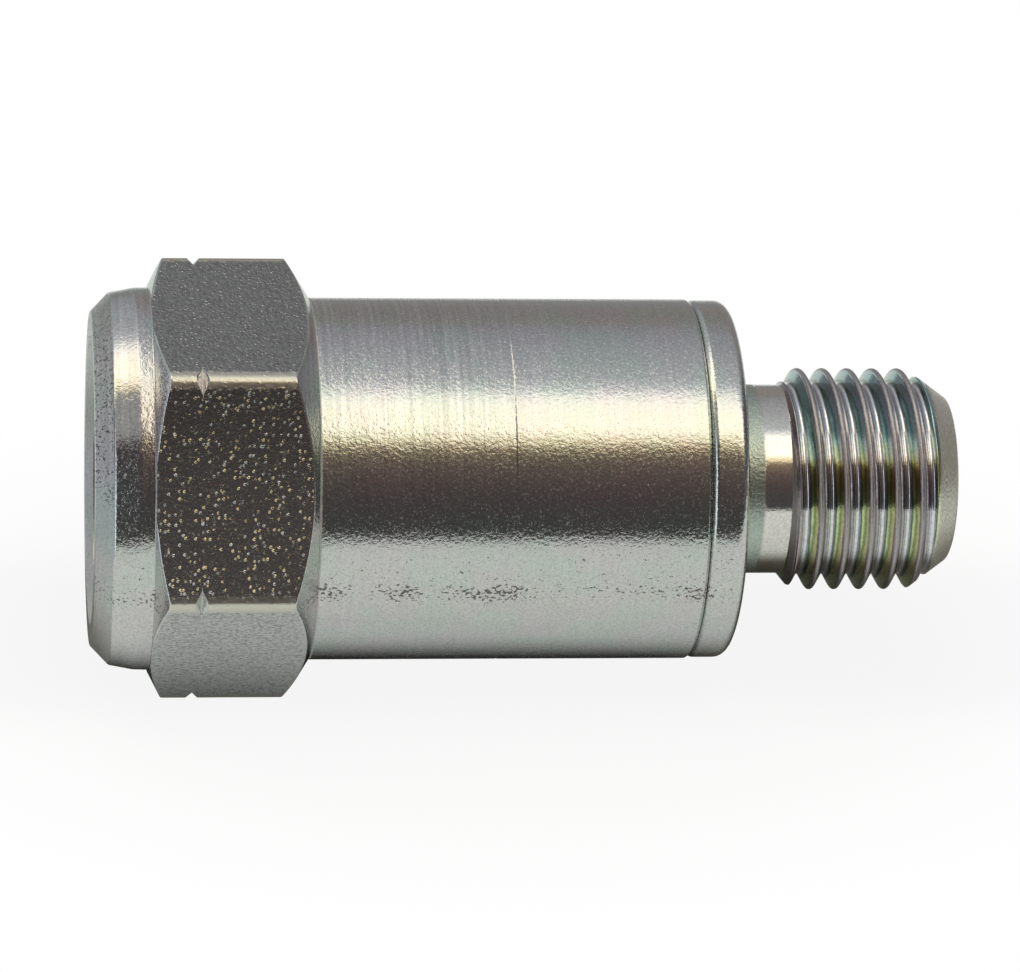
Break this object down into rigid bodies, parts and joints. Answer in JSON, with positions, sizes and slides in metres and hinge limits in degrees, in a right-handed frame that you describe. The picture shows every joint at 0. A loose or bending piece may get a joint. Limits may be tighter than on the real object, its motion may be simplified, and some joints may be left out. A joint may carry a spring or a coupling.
{
  "type": "compressor relief valve",
  "caption": "In-line spring relief valve: threaded inlet stud, smooth barrel, hexagon and an open outlet with a hollow adjusting screw.",
  "frame": {"origin": "centre of the inlet shoulder, the flat that seats on the port", "axes": "+X along the valve axis from the outlet to the tip of the inlet stud; +Z square to a flat of the hexagon"},
  "size_m": [0.0428, 0.0218, 0.019],
  "materials": {
    "zinc_steel": "satin zinc plate",
    "seat_steel": "turned stainless",
    "poppet_brass": "turned",
    "spring_steel": "drawn wire",
    "seal_rubber": "moulded",
    "pellet_nylon": "moulded"
  },
  "bodies": {
    "valve": {"valve_body": "zinc_steel", "inlet_fitting": "zinc_steel", "body_seal": "seal_rubber", "valve_seat": "seat_steel"},
    "poppet": {"poppet": "poppet_brass", "poppet_seal": "seal_rubber", "seal_washer": "seat_steel", "seal_screw": "seat_steel", "lower_spring_seat": "zinc_steel"},
    "spring_cap": {"upper_spring_seat": "zinc_steel", "main_spring": "spring_steel"},
    "adjuster": {"adjusting_screw": "zinc_steel", "locking_pellet": "pellet_nylon"}
  },
  "joints": [
    {"name": "poppet_lift", "type": "slide", "parent": "valve", "child": "poppet", "axis": [-1, 0, 0], "range_m": [0, 0.0012], "stiffness_N_per_m": 17700, "deforming": ["main_spring"]},
    {"name": "spring_cap_advance", "type": "slide", "parent": "valve", "child": "spring_cap", "axis": [1, 0, 0], "range_m": [-0.001, 0.001], "deforming": ["main_spring"]},
    {"name": "adjusting_screw_turn", "type": "hinge", "parent": "spring_cap", "child": "adjuster", "pos_m": [-0.025, 0, 0], "axis": [1, 0, 0], "range_deg": [-360, 360]}
  ],
  "couplings": [
    {"joint": "spring_cap_advance", "follows": "adjusting_screw_turn", "m_per_rad": 0.00015915}
  ]
}
